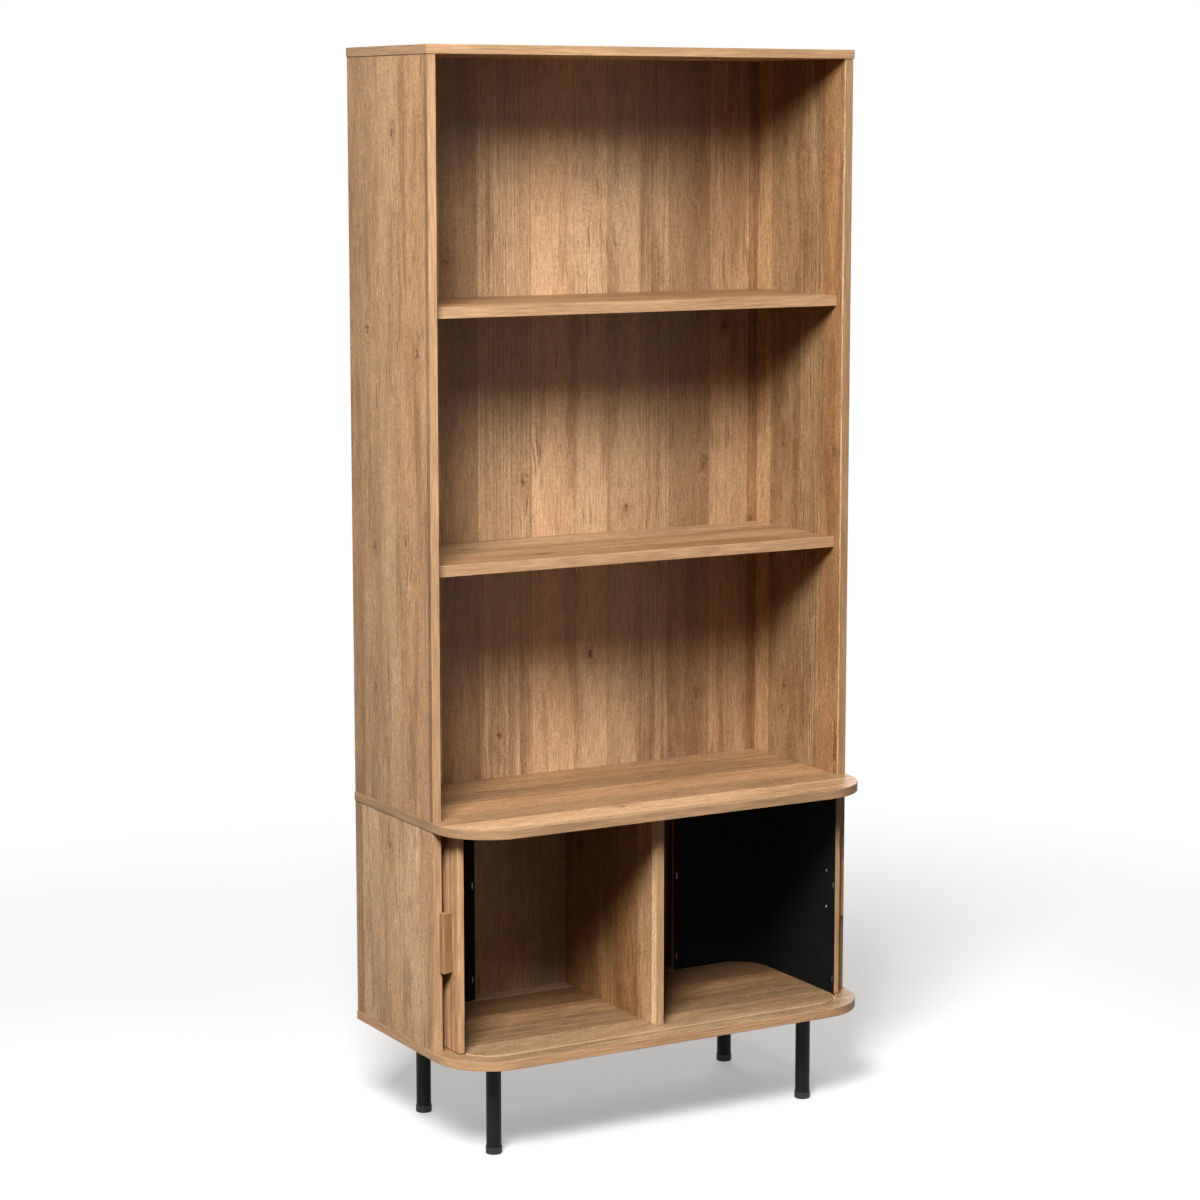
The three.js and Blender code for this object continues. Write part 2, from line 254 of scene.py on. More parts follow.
def oak_foil(name, direction, tones, plank_width, pore_contrast=1.0, gloss=0.2):
    """Oak-look melamine: a printed paper pressed on particle board under an even satin coat.

    It shows planks of mixed tone, cloudy grain, fine pores, dark heart streaks, thin cracks and a few knots.
    """
    material, tree, place = new_material(name)
    seed = add(tree, "Attribute", attribute_name="board_seed").outputs["Fac"]
    shade = add(tree, "Attribute", attribute_name="board_tone_and_painted_light").outputs["Fac"]
    across, along = grain_places(tree, place, seed, **direction)
    plank_tone, plank_hue, plank_kind, joint = planks(tree, across, plank_width)
    pull, knot = knots(tree, across, along)

    # The grain wanders by up to 20 mm, and is drawn in round the knots
    wander = add(tree, "Math", {
        0: grain_noise(tree, across, along, per_metre=(9, 2.2), detail=1.0), 1: 20 * MM, 2: across},
        operation="MULTIPLY_ADD")
    bowed = add(tree, "Math", {0: wander, 1: pull}, operation="ADD")

    # Each plank has its own tone, clouded by grain about 45 by 280 mm, and is a little redder or yellower
    cloud = streaks(tree, bowed, along, (22, 3.6), (0.28, 0.72), (0.0, 1.0), detail=5.0, roughness=0.62)
    own_tone, hue, saturation = (
        add(tree, "MapRange", {
            "Value": draw, "From Min": 0.1, "From Max": 0.9, "To Min": first, "To Max": last})
        for draw, first, last in ((plank_tone, 0.0, 1.0), (plank_hue, 0.498, 0.506), (plank_hue, 1.02, 0.93)))
    tone = add(tree, "Mix", {0: 0.28, 2: own_tone, 3: cloud}, data_type="FLOAT")
    wood = add(tree, "ValToRGB", {0: tone}, stops=tones)
    # The board's number lightens or darkens the foil: partly its own tone, partly painted light and shade
    wood = add(tree, "HueSaturation", {"Hue": hue, "Saturation": saturation, "Value": shade, "Color": wood})

    marks = add(tree, "Math", {0: heart_and_cracks(tree, bowed, along), 1: knot}, operation="MAXIMUM")
    dark = add(tree, "Math", {0: marks, 1: joint}, operation="MAXIMUM")
    wood = add(tree, "Mix", {0: dark, 6: wood, 7: linear(FOIL_HEART)}, data_type="RGBA")

    pores = foil_pores(tree, across, bowed, along, plank_kind)
    pores = add(tree, "Math", {0: pores, 1: pore_contrast}, operation="MULTIPLY")
    return finished(material, pored(tree, wood, pores, 0.08 * MM, roughness=0.45, gloss=gloss))


# Straight-grained oak

BAND_TONES = ((0.25, "#9D7957"), (0.5, "#AB8663"), (0.75, "#B9936E"))
SLAT_TONES = ((0.2, "#AA7F58"), (0.5, "#BA9068"), (0.8, "#C99F77"))
HANDLE_TONES = ((0.25, "#946C49"), (0.5, "#A37A56"), (0.75, "#B18963"))
# What a piece's own number is multiplied by, to draw its tone from the fraction
TONE_DRAW = 7.13
# Between the pores the wood is lighter, by this share of their depth
LIGHT_BETWEEN_PORES = 0.4


def oak_straight(name, direction, tones, seed_name, pore_depth, tone_and_light_name=None):
    """Straight-grained oak with no planks or knots, as on edge banding, slats and solid pieces."""
    material, tree, place = new_material(name)
    seed = add(tree, "Attribute", attribute_name=seed_name).outputs["Fac"]
    across, along = grain_places(tree, place, seed, **direction)

    # Broad streaks of about 17 by 140 mm, and each piece in its own tone
    broad = grain_noise(tree, across, along, per_metre=(60, 7.0))
    drawn = add(tree, "Math", {0: seed, 1: TONE_DRAW}, operation="MULTIPLY")
    piece_tone = add(tree, "Math", {0: drawn}, operation="FRACT")
    tone = add(tree, "Mix", {0: 0.3, 2: broad, 3: piece_tone}, data_type="FLOAT")
    wood = add(tree, "ValToRGB", {0: tone}, stops=tones)
    # A board's number lightens or darkens its banding: partly its own tone, partly painted light and shade
    if tone_and_light_name:
        shade = add(tree, "Attribute", attribute_name=tone_and_light_name).outputs["Fac"]
        wood = add(tree, "HueSaturation", {"Value": shade, "Color": wood})

    # Pores are 0.3 mm wide on oak, and are drawn about 2 mm wide and 60 mm long, so that they show
    pores = streaks(tree, across, along, (420, 16.0), (0.35, 0.7),
                    (-LIGHT_BETWEEN_PORES * pore_depth, pore_depth), detail=3.0, roughness=0.65)
    return finished(material, pored(tree, wood, pores, 0.06 * MM, roughness=0.5, gloss=0.18))


# Other finishes

def particle_board():
    """The raw core of the boards, pressed wood chips: a pale line where the track grooves are milled."""
    material, tree, place = new_material("particle_board_raw")
    # Chips are 1 to 3 mm across
    chips = add(tree, "TexVoronoi", {"Vector": place, "Scale": 1 / (2 * MM)}).outputs["Color"]
    draw = add(tree, "SeparateColor", {0: chips}).outputs["Red"]
    colour = add(tree, "ValToRGB", {0: draw}, stops=((0.0, "#B0906C"), (0.5, "#BD9C78"), (1.0, "#CBAA87")))
    return finished(material, add(tree, "BsdfPrincipled", {"Base Color": colour, "Roughness": 0.9}))


def hardboard():
    """The bare rear of the hardboard backs: cloudy brown pressed fibre with fine specks."""
    material, tree, place = new_material("hardboard_bare")
    # Clouds are about 110 mm across
    cloud = add(tree, "TexNoise", {"Vector": place, "Scale": 9.0, "Detail": 6.0, "Roughness": 0.6})
    cloud = cloud.outputs["Fac"]
    # Fibres are under 1 mm, and are drawn as specks of 4 mm, so that they show
    specks = add(tree, "TexNoise", {"Vector": place, "Scale": 1 / (4 * MM), "Detail": 2.0}).outputs["Fac"]
    tone = add(tree, "Mix", {0: 0.4, 2: cloud, 3: specks}, data_type="FLOAT")
    colour = add(tree, "ValToRGB", {0: tone}, stops=((0.3, "#7A5638"), (0.55, "#8D6747"), (0.75, "#A07B58")))
    bump = add(tree, "Bump", {"Strength": 0.4, "Distance": 0.2 * MM, "Height": specks})
    shader = add(tree, "BsdfPrincipled", {"Base Color": colour, "Roughness": 0.8, "Normal": bump})
    return finished(material, shader)


def backing_cloth():
    """Black plain-woven cloth glued behind the slats: matt, with a faint lint."""
    material, tree, place = new_material("cotton_cloth_black_woven")
    x, y, z = add(tree, "SeparateXYZ", {0: place}).outputs
    # Threads are 0.5 mm apart, and are drawn 1.5 mm apart, so that the weave shows close to
    turns = 2 * math.pi / (1.5 * MM)
    round_run = add(tree, "Math", {0: x, 1: y}, operation="SUBTRACT")
    warp_angle = add(tree, "Math", {0: round_run, 1: turns}, operation="MULTIPLY")
    weft_angle = add(tree, "Math", {0: z, 1: turns}, operation="MULTIPLY")
    warp = add(tree, "Math", {0: warp_angle}, operation="SINE")
    weft = add(tree, "Math", {0: weft_angle}, operation="SINE")
    weave = add(tree, "Math", {0: warp, 1: weft}, operation="MULTIPLY")
    # Lint lies in patches of about 17 mm
    lint = add(tree, "TexNoise", {"Vector": place, "Scale": 60.0, "Detail": 4.0}).outputs["Fac"]
    colour = add(tree, "ValToRGB", {0: lint}, stops=((0.3, "#060606"), (0.6, "#0A0A0B"), (0.8, "#111112")))
    bump = add(tree, "Bump", {"Strength": 0.5, "Distance": 0.15 * MM, "Height": weave})
    shader = add(tree, "BsdfPrincipled", {
        "Base Color": colour, "Roughness": 0.92, "Specular IOR Level": 0.15, "Normal": bump})
    return finished(material, shader)


def powder_coat():
    """Black powder coat on steel tube: an even matt skin with a fine orange-peel."""
    material, tree, place = new_material("steel_powder_coated_black")
    # The peel's dimples are about 1 mm, and its tone drifts over about 70 mm
    peel = add(tree, "TexNoise", {"Vector": place, "Scale": 1 / MM, "Detail": 1.0}).outputs["Fac"]
    cloud = add(tree, "TexNoise", {"Vector": place, "Scale": 14.0, "Detail": 3.0}).outputs["Fac"]
    colour = add(tree, "ValToRGB", {0: cloud}, stops=((0.3, "#0E0D0E"), (0.7, "#131213")))
    roughness = add(tree, "MapRange", {"Value": peel, "To Min": 0.46, "To Max": 0.6})
    bump = add(tree, "Bump", {"Strength": 0.25, "Distance": 0.05 * MM, "Height": peel})
    shader = add(tree, "BsdfPrincipled", {
        "Base Color": colour, "Roughness": roughness, "Specular IOR Level": 0.18, "Normal": bump})
    return finished(material, shader)


def moulded_plastic():
    """Black polypropylene foot caps, moulded with a light spark grain."""
    material, tree, place = new_material("polypropylene_black_moulded")
    # The grain's pits are about 0.8 mm
    grain = add(tree, "TexNoise", {"Vector": place, "Scale": 1 / (0.8 * MM), "Detail": 2.0}).outputs["Fac"]
    colour = add(tree, "ValToRGB", {0: grain}, stops=((0.35, "#131313"), (0.65, "#1B1B1B")))
    bump = add(tree, "Bump", {"Strength": 0.3, "Distance": 0.05 * MM, "Height": grain})
    shader = add(tree, "BsdfPrincipled", {"Base Color": colour, "Roughness": 0.6, "Normal": bump})
    return finished(material, shader)


def zinc_plate():
    """Zinc-plated steel screws and staples: bright, slightly blue, unevenly worn."""
    material, tree, place = new_material("steel_zinc_plated")
    # The wear is mottled at about 1 mm
    wear = add(tree, "TexNoise", {"Vector": place, "Scale": 1 / MM, "Detail": 3.0}).outputs["Fac"]
    colour = add(tree, "ValToRGB", {0: wear}, stops=((0.3, "#8F9294"), (0.7, "#B3B6B8")))
    roughness = add(tree, "MapRange", {"Value": wear, "To Min": 0.25, "To Max": 0.45})
    shader = add(tree, "BsdfPrincipled", {"Base Color": colour, "Metallic": 1.0, "Roughness": roughness})
    return finished(material, shader)


# Modelling

MERGE_DISTANCE = 0.01 * MM
FLAT_ANGLE = math.radians(0.5)
SMOOTH_ANGLE = math.radians(30)


def select_only(*pieces):
    """Selects these pieces alone and makes the first one active."""
    bpy.ops.object.select_all(action="DESELECT")
    for piece in pieces:
        piece.select_set(True)
    bpy.context.view_layer.objects.active = pieces[0]


def bevel_edges(piece, test, radius, segments):
    """Rounds the edges whose two ends pass the test."""
    select_only(piece)
    bpy.context.tool_settings.mesh_select_mode = (False, True, False)
    bpy.ops.object.mode_set(mode="EDIT")
    bpy.ops.mesh.select_all(action="DESELECT")
    bpy.ops.object.mode_set(mode="OBJECT")
    points = piece.data.vertices
    for edge in piece.data.edges:
        edge.select = test(points[edge.vertices[0]].co, points[edge.vertices[1]].co)
    bpy.ops.object.mode_set(mode="EDIT")
    bpy.ops.mesh.bevel(offset=radius, segments=segments, affect="EDGES")
    bpy.ops.object.mode_set(mode="OBJECT")


def copy_of(node, name):
    """A piece with a CAD node's own shape: its loose triangles joined up, its flat faces made whole."""
    piece = bpy.data.objects.new(name, frame["nodes"][node].data.copy())
    piece.data.name = name
    piece.data.materials.clear()
    bpy.context.scene.collection.objects.link(piece)
    select_only(piece)
    bpy.ops.mesh.customdata_custom_splitnormals_clear()
    bpy.ops.object.mode_set(mode="EDIT")
    bpy.ops.mesh.select_all(action="SELECT")
    bpy.ops.mesh.remove_doubles(threshold=MERGE_DISTANCE)
    bpy.ops.mesh.dissolve_limited(angle_limit=FLAT_ANGLE)
    bpy.ops.object.mode_set(mode="OBJECT")
    return piece


def ease_edges(piece, radius, segments=2):
    """Rounds every hard edge a little, and keeps the faces between flat to the eye."""
    select_only(piece)
    bpy.ops.object.shade_smooth()
    bevel = piece.modifiers.new("Eased edges", "BEVEL")
    bevel.width = radius
    bevel.segments = segments
    bevel.limit_method = "ANGLE"
    bevel.angle_limit = SMOOTH_ANGLE
    bevel.harden_normals = True
    bpy.ops.object.modifier_apply(modifier=bevel.name)


def block(name, low, high):
    """A block between two corners, as a start for a piece."""
    low, high = Vector(low), Vector(high)
    bpy.ops.object.select_all(action="DESELECT")
    bpy.ops.mesh.primitive_cube_add(size=1, location=(low + high) / 2, scale=high - low)
    piece = bpy.context.active_object
    piece.name = piece.data.name = name
    bpy.ops.object.transform_apply()
    return piece


def cut_or_join(piece, tool, operation):
    """Cuts one closed piece from another, or makes the two one skin, and removes the tool."""
    boolean = piece.modifiers.new(operation.lower(), "BOOLEAN")
    boolean.operation = operation
    boolean.solver = "EXACT"
    boolean.object = tool
    select_only(piece)
    bpy.ops.object.modifier_apply(modifier=boolean.name)
    bpy.data.objects.remove(tool)


def put(piece, place, turn=0.0, tilt=0.0):
    """Tilts a piece about Y, turns it about Z and moves it, all in its mesh."""
    piece.rotation_euler = (0, tilt, turn)
    piece.location = place
    select_only(piece)
    bpy.ops.object.transform_apply()


def placed_copy(blank, name, place, turn=0.0, tilt=0.0):
    """A copy of a blank with its own mesh, put in its place."""
    piece = blank.copy()
    piece.data = blank.data.copy()
    piece.name = piece.data.name = name
    bpy.context.scene.collection.objects.link(piece)
    put(piece, place, turn, tilt)
    return piece


def joined(name, pieces):
    """Several pieces made one object."""
    select_only(*pieces)
    if len(pieces) > 1:
        bpy.ops.object.join()
    piece = bpy.context.view_layer.objects.active
    piece.name = piece.data.name = name
    return piece


def give_number(piece, attribute, value):
    """Stores one number all over a piece, for its material to read."""
    numbers = piece.data.attributes.new(attribute, "FLOAT", "POINT")
    numbers.data.foreach_set("value", [value] * len(piece.data.vertices))


def paint(piece, materials, choose=None):
    """Gives a piece its materials. choose says which one a face takes, from its middle and its normal."""
    piece.data.materials.clear()
    for material in materials:
        piece.data.materials.append(material)
    if choose:
        for face in piece.data.polygons:
            face.material_index = choose(face.center, face.normal)


def settle(piece, body, slot_name, *nodes):
    """Makes a finished piece ride on a CAD body and stand for its CAD nodes, which it hides. slot_name is not
    used.
    """
    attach(piece, body)
    if nodes:
        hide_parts(*nodes)


# Boards

# The places of the materials in a board's list, and of the bare side in a back's
FOIL, BAND, CORE = range(3)
BARE = 1
TRACK_BOARDS = ("bottom_board", "cabinet_top_board")
FLAT_BOARDS = TRACK_BOARDS + ("top_board", "shelf_1", "shelf_2")
UPRIGHT_BOARDS = ("lower_left_side", "lower_right_side", "upper_left_side", "upper_right_side", "divider")
BACKS = ("upper_back_panel", "lower_back_panel")
# The track grooves are cut this far in from a board's edge or farther
TRACK_INSET = 20 * MM
# A face whose normal's share along Z is more than this is flat, and no part of an eased edge
LYING_FLAT = 0.98
BAND_PORES = 0.28
# Which stretch of the printed foil each board was cut from, and how light its foil and its banding are drawn,
# partly their own tone and partly painted light and shade
# Painted shade darkens the bottom board and the lower back, which lie in the compartments' shade, and painted
# light brightens the low boards' sides and banding, which the lamps light less
FOIL_STRETCHES_AND_LIGHT = {
    "top_board": (2.87, 1.0, 0.98), "shelf_1": (3.839, 0.87, 1.05), "shelf_2": (5.26, 0.92, 1.0),
    "cabinet_top_board": (2.189, 0.9, 0.88), "bottom_board": (14.053, 0.7, 1.33),
    "upper_left_side": (10.755, 1.06, 1.0), "upper_right_side": (1.267, 0.96, 0.92),
    "lower_left_side": (12.176, 1.08, 1.15), "lower_right_side": (7.17, 1.0, 1.2),
    "divider": (6.31, 1.2, 1.05),
    "upper_back_panel": (5.226, 1.1, 1.0), "lower_back_panel": (10.41, 0.76, 1.0),
}


def track_board_face(piece, low, high):
    """Tells a track board's foil, banded edge and groove apart by how far in from its outline a face lies."""
    flat_front = max(abs(point.co.x) for point in piece.data.vertices if point.co.y < low.y + NEAR)
    corner = high.x - flat_front

    def choose(middle, normal):
        if abs(normal.z) > LYING_FLAT and min(middle.z - low.z, high.z - middle.z) < NEAR:
            return FOIL
        beyond = Vector((max(abs(middle.x) - flat_front, 0), max(low.y + corner - middle.y, 0)))
        if min(beyond) > 0:
            inset = corner - beyond.length
        else:
            inset = min(high.x - abs(middle.x), middle.y - low.y, high.y - middle.y)
        return CORE if inset > TRACK_INSET else BAND
    return choose


def give_stretch(piece, node):
    """Stores on a painted board which stretch of foil it shows and how light each face is drawn, its own tone
    with painted light and shade.
    """
    place, foil_tone_and_light, band_tone_and_light = FOIL_STRETCHES_AND_LIGHT[node]
    give_number(piece, "board_seed", place)
    shades = piece.data.attributes.new("board_tone_and_painted_light", "FLOAT", "FACE")
    for face in piece.data.polygons:
        shades.data[face.index].value = foil_tone_and_light if face.material_index == FOIL else band_tone_and_light


class BoardSettings(bpy.types.PropertyGroup):
    edge_radius: bpy.props.FloatProperty(
        name="Edge radius", description="How far the boards' banded edges are eased",
        default=0.6 * MM, min=0.1 * MM, max=2 * MM, precision=4, unit="LENGTH")
    plank_width: bpy.props.FloatProperty(
        name="Plank width", description="Average width of the planks printed on the foil",
        default=78 * MM, min=20 * MM, max=200 * MM, unit="LENGTH")


class BOOKCASE_OT_boards(bpy.types.Operator):
    """Makes the flat and upright boards in oak-look foil with banded edges"""
    bl_idname = "bookcase.boards"
    bl_label = "Boards"

    def execute(self, context):
        settings = context.scene.bookcase_boards
        width = settings.plank_width
        banding = (BAND_TONES, "board_seed", BAND_PORES, "board_tone_and_painted_light")
        lengthways = [
            oak_foil("oak_melamine_lengthways", LENGTHWAYS, FLAT_TONES_WITH_PAINTED_LIGHT, width),
            oak_straight("oak_edge_band_lengthways", ROUND_THE_EDGE, *banding),
            particle_board()]
        upright = [
            oak_foil("oak_melamine_upright", UPRIGHT, SIDE_TONES_WITH_PAINTED_LIGHT, width, pore_contrast=1.1),
            oak_straight("oak_edge_band_upright", UPRIGHT, *banding)]
        for node in FLAT_BOARDS + UPRIGHT_BOARDS:
            piece = copy_of(node, f"{node}_in_oak")
            ease_edges(piece, settings.edge_radius)
            if node in UPRIGHT_BOARDS:
                paint(piece, upright, lambda middle, normal: FOIL if abs(normal.x) > FACING else BAND)
            elif node in TRACK_BOARDS:
                paint(piece, lengthways, track_board_face(piece, *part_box(node)))
            else:
                paint(piece, lengthways, lambda middle, normal: FOIL if abs(normal.z) > FACING else BAND)
            give_stretch(piece, node)
            settle(piece, "case", "oak_board", node)
        return {"FINISHED"}


class BOOKCASE_OT_backs(bpy.types.Operator):
    """Makes the hardboard backs, foiled in front and bare behind"""
    bl_idname = "bookcase.backs"
    bl_label = "Backs"

    def execute(self, context):
        settings = context.scene.bookcase_boards
        foil = oak_foil("oak_foil_on_hardboard", UPRIGHT, BACK_TONES, settings.plank_width,
                        pore_contrast=0.85, gloss=0.35)
        materials = [foil, hardboard()]
        for node in BACKS:
            piece = copy_of(node, f"{node}_in_oak")
            paint(piece, materials, lambda middle, normal: FOIL if normal.y < -FACING else BARE)
            give_stretch(piece, node)
            settle(piece, "case", "oak_board", node)
        return {"FINISHED"}


# Doors

# Which way in X each door's face looks once its curtain lies along the side
SIDES = {"left": -1, "right": 1}
FRONT_BENDS = 6
REAR_BENDS = 12
# The first two slats carry the handle and move as one, and so do those that only slide along the side
LEADING_SLATS = (1, 2)
SLIDING_SLATS = tuple(range(8, 15))
LAST_SLAT = 26
SLAT_GROUPS = (
    LEADING_SLATS,
    *((number,) for number in range(LEADING_SLATS[-1] + 1, SLIDING_SLATS[0])),
    SLIDING_SLATS,
    *((number,) for number in range(SLIDING_SLATS[-1] + 1, LAST_SLAT + 1)),
)
# Each strip of cloth stops this far short of the line that it bends about
HINGE_CLEARANCE = 0.03 * MM
# How far a strip's upright edges are rounded, as a share of half its thickness
STRIP_ROUNDING = 0.8
SLAT_EASE = 0.35 * MM
SLAT_PORES = 0.34
HANDLE_PORES = 0.3
# Each slat's own number is drawn at random, up to the largest. The handles' are 1 less and 1 more than theirs
DRAW_SEED = 26
LARGEST_SLAT_NUMBER = 30
HANDLE_NUMBER = 3.3


def slat_numbers(group):
    """A group of slats as names give it: 3 for one slat, 8_14 for a row of them."""
    return f"{group[0]}" if len(group) == 1 else f"{group[0]}_{group[-1]}"


def slat_body(prefix, group):
    """The name that a group of slats' body and CAD node share."""
    word = "slat" if len(group) == 1 else "slats"
    return f"{prefix}_{word}_{slat_numbers(group)}"


def hinge_lines(prefix):
    """Where the curtain bends, seen from above, from the front to the trailing end."""
    places = {joint["name"]: Vector(joint["pos_m"][:2]) for joint in frame["joints"] if "pos_m" in joint}
    front = [places[f"{prefix}_front_bend_{number}"] for number in range(FRONT_BENDS, 0, -1)]
    rear = [places[f"{prefix}_rear_bend_{number}"] for number in range(1, REAR_BENDS + 1)]
    count = len(SLIDING_SLATS)
    between = [front[-1].lerp(rear[0], number / count) for number in range(1, count)]
    lines = front + between + rear
    return lines + [2 * lines[-1] - lines[-2]]


def slat_stations(prefix):
    """For each slat, the middle of its backing seen from above, the way its face looks, and its width."""
    side = SIDES[prefix]
    lines = hinge_lines(prefix)
    pitch = (lines[1] - lines[0]).length
    lead_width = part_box(f"{prefix}_slat_3")[0].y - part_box(f"{prefix}_slats_1_2")[0].y - pitch
    face_out = 0.0 if side > 0 else math.pi
    # The leading slat is wider than the rest, and it and the second lie straight ahead of the first bend
    stations = {
        1: (lines[0] - Vector((0, pitch + lead_width / 2)), face_out, lead_width),
        2: (lines[0] - Vector((0, pitch / 2)), face_out, pitch),
    }
    for number, (start, end) in enumerate(zip(lines, lines[1:]), start=LEADING_SLATS[-1] + 1):
        run = end - start
        outward = Vector((run.y, -run.x)) * side
        stations[number] = ((start + end) / 2, math.atan2(outward.y, outward.x), pitch)
    return stations


class DoorSettings(bpy.types.PropertyGroup):
    slat_radius: bpy.props.FloatProperty(
        name="Slat radius", description="Rounding of the slats' long edges",
        default=2.4 * MM, min=0.5 * MM, max=5 * MM, precision=4, unit="LENGTH")
    slat_gap: bpy.props.FloatProperty(
        name="Slat gap", description="Gap between two slats",
        default=0.5 * MM, min=0.1 * MM, max=2 * MM, precision=4, unit="LENGTH")
    backing_thickness: bpy.props.FloatProperty(
        name="Backing thickness", description="Thickness of the cloth that joins the slats",
        default=0.6 * MM, min=0.2 * MM, max=1.5 * MM, precision=4, unit="LENGTH")
    tongue_thickness: bpy.props.FloatProperty(
        name="Tongue thickness", description="Thickness of the tongue on each end of a slat",
        default=4 * MM, min=2 * MM, max=4.6 * MM, precision=4, unit="LENGTH")
    tongue_width: bpy.props.FloatProperty(
        name="Tongue width", description="Width of the tongue along the track",
        default=10 * MM, min=4 * MM, max=12 * MM, precision=4, unit="LENGTH")
    screw_diameter: bpy.props.FloatProperty(
        name="Screw head", description="Diameter of the screw heads",
        default=5.6 * MM, min=3 * MM, max=9 * MM, precision=4, unit="LENGTH")
    handle_radius: bpy.props.FloatProperty(
        name="Handle edge radius", description="Rounding of the handles' edges",
        default=0.9 * MM, min=0.2 * MM, max=1.4 * MM, precision=4, unit="LENGTH")


def slat_blank(width, settings, thickness, body_z, tongue_z):
    """One slat with its backing side near x = 0: long edges rounded, and a tongue on each end."""
    half = (width - settings.slat_gap) / 2
    back = settings.backing_thickness / 2
    slat = block("slat_blank", (back, -half, body_z[0]), (thickness, half, body_z[1]))
    bevel_edges(slat, lambda a, b: min(a.x, b.x) > thickness - NEAR and abs(a.y - b.y) < NEAR,
                settings.slat_radius, segments=4)
    inner = (thickness - settings.tongue_thickness) / 2
    tongue = block("tongue", (inner, -settings.tongue_width / 2, tongue_z[0]),
                   (inner + settings.tongue_thickness, settings.tongue_width / 2, tongue_z[1]))
    cut_or_join(slat, tongue, "UNION")
    ease_edges(slat, SLAT_EASE, segments=1)
    return slat


class BOOKCASE_OT_slats(bpy.types.Operator):
    """Makes the slats of both doors in oak veneer"""
    bl_idname = "bookcase.slats"
    bl_label = "Slats"

    def execute(self, context):
        settings = context.scene.bookcase_doors
        veneer = oak_straight("oak_veneer_upright", ROUND_THE_CURTAIN, SLAT_TONES, "slat_seed", SLAT_PORES)
        draws = random.Random(DRAW_SEED)
        for prefix in SIDES:
            low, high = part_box(f"{prefix}_slat_3")
            tongue_low, tongue_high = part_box(slat_body(prefix, SLIDING_SLATS))
            stations = slat_stations(prefix)
            blanks = {}
            for width in {width for place, out, width in stations.values()}:
                blanks[width] = slat_blank(width, settings, high.x - low.x, (low.z, high.z),
                                           (tongue_low.z, tongue_high.z))
            for group in SLAT_GROUPS:
                slats = []
                for number in group:
                    place, out, width = stations[number]
                    slat = placed_copy(blanks[width], "slat", place.to_3d(), out)
                    give_number(slat, "slat_seed", draws.uniform(0, LARGEST_SLAT_NUMBER))
                    slats.append(slat)
                node = slat_body(prefix, group)
                piece = joined(f"{node}_in_veneer", slats)
                paint(piece, [veneer])
                settle(piece, node, "oak_slat", node)
            for blank in blanks.values():
                bpy.data.objects.remove(blank)
        return {"FINISHED"}


class BOOKCASE_OT_backing(bpy.types.Operator):
    """Makes the black cloth that joins the slats, one strip to each slat so that it can bend between them"""
    bl_idname = "bookcase.backing"
    bl_label = "Backing"

    def execute(self, context):
        settings = context.scene.bookcase_doors
        cloth = backing_cloth()
        half = settings.backing_thickness / 2
        for prefix in SIDES:
            low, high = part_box(f"{prefix}_slat_3")
            stations = slat_stations(prefix)
            for group in SLAT_GROUPS:
                strips = []
                for number in group:
                    place, out, width = stations[number]
                    reach = width / 2 - HINGE_CLEARANCE
                    strip = block("strip", (-half, -reach, low.z), (half, reach, high.z))
                    bevel_edges(strip, lambda a, b: abs(a.z - b.z) > NEAR, STRIP_ROUNDING * half, segments=2)
                    put(strip, place.to_3d(), out)
                    strips.append(strip)
                piece = joined(f"{prefix}_backing_{slat_numbers(group)}", strips)
                paint(piece, [cloth])
                settle(piece, slat_body(prefix, group), "door_backing")
        return {"FINISHED"}


class BOOKCASE_OT_handles(bpy.types.Operator):
    """Makes the handles: oak blocks, undercut on the leading side"""
    bl_idname = "bookcase.handles"
    bl_label = "Handles"

    def execute(self, context):
        settings = context.scene.bookcase_doors
        wood = oak_straight("oak_solid_oiled", ROUND_THE_CURTAIN, HANDLE_TONES, "slat_seed", HANDLE_PORES)
        for prefix, side in SIDES.items():
            piece = copy_of(f"{prefix}_handle", f"{prefix}_handle_in_oak")
            ease_edges(piece, settings.handle_radius, segments=3)
            give_number(piece, "slat_seed", HANDLE_NUMBER + side)
            paint(piece, [wood])
            settle(piece, slat_body(prefix, LEADING_SLATS), "oak_slat", f"{prefix}_handle")
        return {"FINISHED"}


# Screws and staples

HANDLE_SCREW_SPACING = 64 * MM
PLATE_SCREW_INSET = 9 * MM
# A screw head's height and its recess's arm and slot as shares of its diameter, and the rounding of its rim
# and the height of its recess's floor as shares of its height
HEAD_HEIGHT = 0.34
RECESS_ARM = 0.27
RECESS_SLOT = 0.075
HEAD_ROUNDING = 0.55
RECESS_FLOOR = 0.45
# Where the staples of each door's trailing and leading slats sit, as put in by hand
STAPLE_HEIGHTS = {
    "left": {"trailing": (216 * MM, 381 * MM, 516 * MM), "leading": (206 * MM, 369 * MM)},
    "right": {"trailing": (203 * MM, 351 * MM, 514 * MM), "leading": (204 * MM, 371 * MM)},
}
STAPLE_INSET = 5 * MM
STAPLE_LENGTH = 11 * MM
STAPLE_WIRE = 1.2 * MM
# How far a staple's edges are rounded, as a share of half its wire
STAPLE_ROUNDING = 0.8


